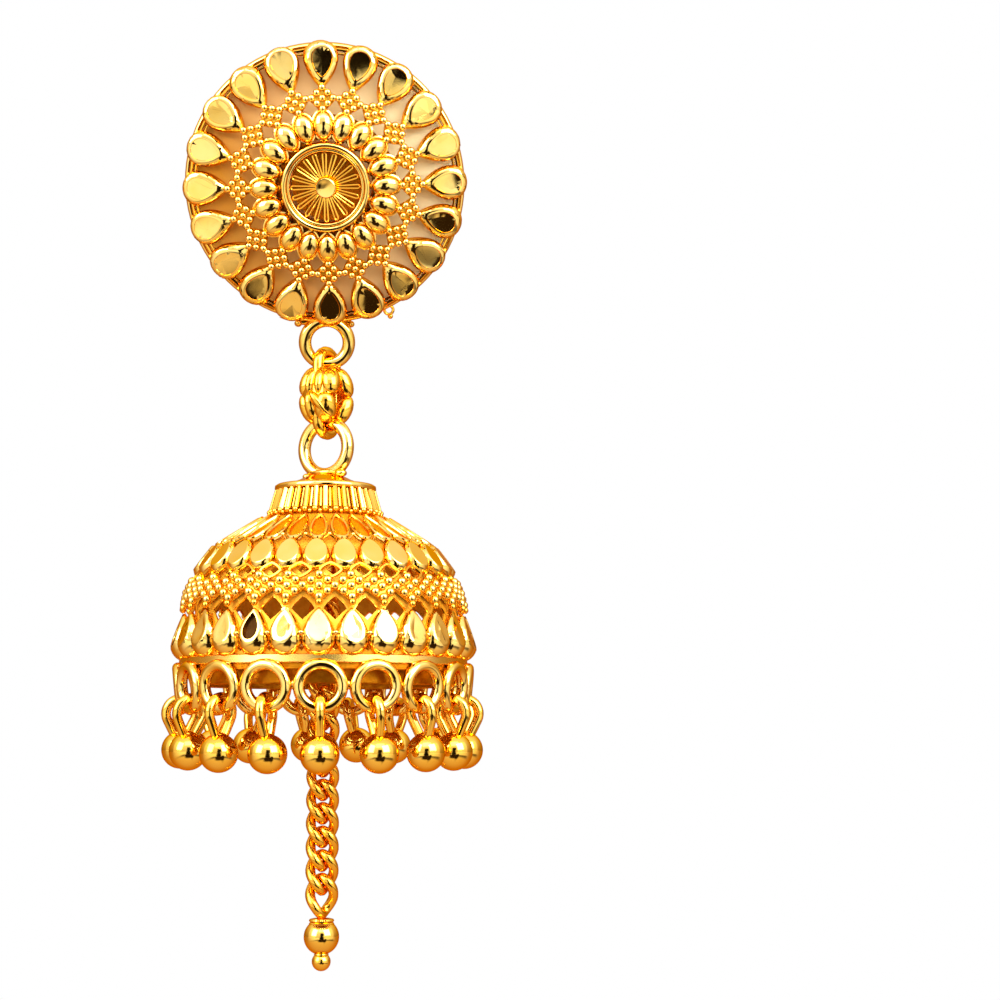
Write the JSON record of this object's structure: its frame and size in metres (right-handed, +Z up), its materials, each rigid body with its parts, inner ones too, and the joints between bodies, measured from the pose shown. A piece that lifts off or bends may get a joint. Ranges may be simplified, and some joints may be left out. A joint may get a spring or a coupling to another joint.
{
  "type": "jhumka earring",
  "caption": "Hanging bell earring: domed openwork stud with an ear post, slotted bead link, pierced dome bell, ball drops on rim rings and a weighted central chain.",
  "frame": {"origin": "where the ear post leaves the middle of the stud's back, on the plate's back face", "axes": "+Z up, the earring hangs down -Z; the face looks to -Y with its top tipped forward; the ear post runs back and up to +Y"},
  "size_m": [0.0276, 0.0275, 0.078],
  "materials": {
    "stud_gold": "polished gold, fine granulation with darker hollows",
    "link_gold": "polished gold",
    "bell_gold": "polished gold filigree with orange tone in the hollows",
    "ball_gold": "mirror polished gold",
    "chain_gold": "polished gold wire links",
    "post_metal": "plain smooth gold"
  },
  "bodies": {
    "stud": {"stud_disc": "stud_gold", "ear_post": "post_metal"},
    "connector": {"connector_link": "link_gold"},
    "bell": {"bell": "bell_gold", "ball_drop_01": "ball_gold", "ball_drop_02": "ball_gold", "ball_drop_03": "ball_gold", "ball_drop_04": "ball_gold", "ball_drop_05": "ball_gold", "ball_drop_06": "ball_gold", "ball_drop_07": "ball_gold", "ball_drop_08": "ball_gold", "ball_drop_09": "ball_gold", "ball_drop_10": "ball_gold", "ball_drop_11": "ball_gold", "ball_drop_12": "ball_gold", "ball_drop_13": "ball_gold", "ball_drop_14": "ball_gold", "ball_drop_15": "ball_gold", "ball_drop_16": "ball_gold", "ball_drop_17": "ball_gold", "drop_chain": "chain_gold", "chain_end": "ball_gold"}
  },
  "joints": [
    {"name": "connector_swing", "type": "hinge", "parent": "stud", "child": "connector", "pos_m": [0, 0.00446, -0.01519], "axis": [1, 0, 0], "range_deg": [-40, 40]},
    {"name": "bell_swing", "type": "hinge", "parent": "connector", "child": "bell", "pos_m": [0, 0.00446, -0.02129], "axis": [0.5736, 0.8192, 0], "range_deg": [-45, 45]}
  ]
}
